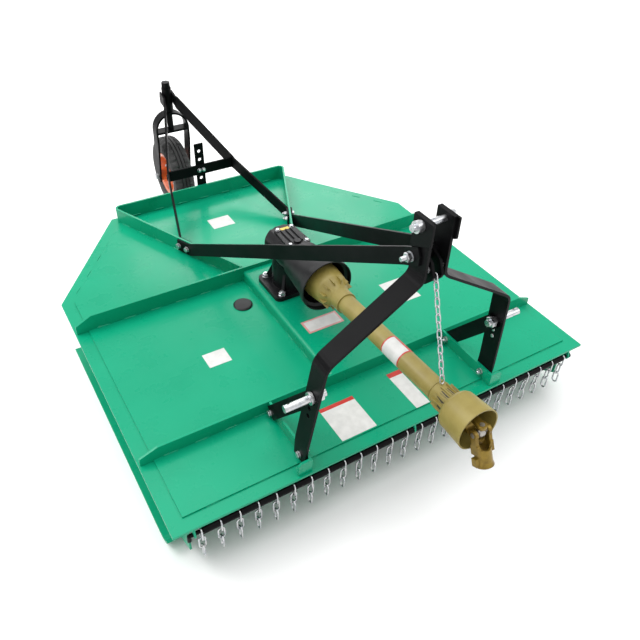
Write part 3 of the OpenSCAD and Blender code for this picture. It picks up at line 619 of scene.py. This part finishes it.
def tyre_tread():
    low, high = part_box("tail_tyre")
    middle = (low + high) / 2
    outer = (high.z - low.z) * 500
    groove = outer - 7
    half = [(102.8, 40), (104, 41), (116, 46.5), (128, 48.6), (141, 50), (152, 49), (160, 48), (168, 42),
            (174, 36), (outer - 0.8, 24), (outer, 19), (groove, 18), (groove, 15), (outer, 14),
            (outer, 3.5), (groove, 3)]
    profile = [(radius, -across) for radius, across in half] + half[::-1]
    segments = 160
    # Shoulder blocks: two of every five segments are sunk, staggered between the sides
    pattern, gap, depth = 5, 2, 5.5
    bm = bmesh.new()
    rings = []
    for radius, across in profile:
        ring = []
        for i in range(segments):
            step = (i + (gap if across > 0 else 0)) % pattern
            sunk = depth if step < gap and radius > 166 and abs(across) > 18.5 else 0
            a = 2 * math.pi * i / segments
            r = (radius - sunk) / 1000
            ring.append(bm.verts.new(middle + Vector((across / 1000, r * math.cos(a), r * math.sin(a)))))
        rings.append(ring)
    for first, second in zip(rings, rings[1:] + rings[:1]):
        for i in range(segments):
            j = (i + 1) % segments
            bm.faces.new((first[i], first[j], second[j], second[i]))
    tyre = publish(bm, "tyre_tread", "wheel", "tyre")
    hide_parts("tail_tyre")
    bm = bmesh.new()
    for side in (-1, 1):
        for k in range(5):
            a = 2 * math.pi * k / 5 + 0.3
            spot = middle + Vector((side * 0.008, 0.055 * math.cos(a), 0.055 * math.sin(a)))
            hex_nut(bm, spot, (side, 0, 0), 17, 7, 4)
    publish(bm, "wheel_bolts", "wheel", "zinc")


# Light, floor and camera

def floor():
    size = 14
    mesh = bpy.data.meshes.new("floor")
    corners = [(-size, -size, 0), (size, -size, 0), (size, size, 0), (-size, size, 0)]
    mesh.from_pydata(corners, [], [(0, 1, 2, 3)])
    obj = bpy.data.objects.new("floor", mesh)
    bpy.context.scene.collection.objects.link(obj)
    mat, tree, shader = new_material("floor")
    shade = noise(tree, 1.5, 3)
    base_colour(tree, shader, shade, (0.93, 0.93, 0.93), (0.96, 0.96, 0.96))
    shader.inputs["Roughness"].default_value = 0.9
    obj.data.materials.append(mat)


def softbox(name, at, target, size, power):
    light = bpy.data.lights.new(name, "AREA")
    light.shape = "RECTANGLE"
    light.size, light.size_y = size
    light.energy = power
    obj = bpy.data.objects.new(name, light)
    obj.location = at
    obj.rotation_euler = (Vector(target) - Vector(at)).to_track_quat("-Z", "Y").to_euler()
    bpy.context.scene.collection.objects.link(obj)


def lights():
    world = bpy.data.worlds.new("studio")
    world.use_nodes = True
    tree = world.node_tree
    back = tree.nodes["Background"]
    back.inputs["Color"].default_value = (1, 1, 1, 1)
    path = tree.nodes.new("ShaderNodeLightPath")
    seen = tree.nodes.new("ShaderNodeMath")
    seen.operation = "MAXIMUM"
    link(tree, path.outputs["Is Camera Ray"], seen.inputs[0])
    link(tree, path.outputs["Is Glossy Ray"], seen.inputs[1])
    strength = tree.nodes.new("ShaderNodeMapRange")
    strength.inputs["To Min"].default_value = 0.6
    strength.inputs["To Max"].default_value = 1.0
    link(tree, seen.outputs["Value"], strength.inputs["Value"])
    link(tree, strength.outputs["Result"], back.inputs["Strength"])
    bpy.context.scene.world = world
    softbox("key", (-2.6, 1.6, 3.4), (0, 0, 0.3), (2.2, 1.6), 60)
    softbox("fill", (2.4, -2.6, 3.0), (0, 0, 0.3), (2.0, 2.0), 30)
    softbox("rear", (1.6, 3.4, 2.4), (0, 0.3, 0.3), (2.6, 1.2), 40)
    sky = bpy.data.lights.new("overhead", "SUN")
    sky.energy = 2.1
    sky.angle = math.radians(70)
    obj = bpy.data.objects.new("overhead", sky)
    obj.rotation_euler = (math.radians(-8), math.radians(-10), 0)
    bpy.context.scene.collection.objects.link(obj)


def camera():
    data = bpy.data.cameras.new("photo_view")
    data.sensor_width = 36
    data.lens = data.sensor_width * FOCAL_PIXELS / FRAME_PIXELS
    data.clip_start, data.clip_end = 0.05, 60
    a, e = CAMERA_AZIMUTH, CAMERA_ELEVATION
    back = Vector((math.sin(a) * math.cos(e), -math.cos(a) * math.cos(e), math.sin(e)))
    level = Vector((0, 0, 1)).cross(back).normalized()
    upright = back.cross(level)
    right = level * math.cos(CAMERA_ROLL) + upright * math.sin(CAMERA_ROLL)
    up = upright * math.cos(CAMERA_ROLL) - level * math.sin(CAMERA_ROLL)
    obj = bpy.data.objects.new("photo_view", data)
    turn = Matrix((right, up, back)).transposed().to_4x4()
    obj.matrix_world = Matrix.Translation(CAMERA_AT) @ turn
    bpy.context.scene.collection.objects.link(obj)
    bpy.context.scene.camera = obj


camera()
finish_nodes()
labels()
shaft_sticker()
deck_bolts()
hitch_bolts()
tail_bolts()
guard_trim()
welds()
tyre_tread()
floor()
lights()
bpy.context.scene.view_settings.view_transform = "Standard"
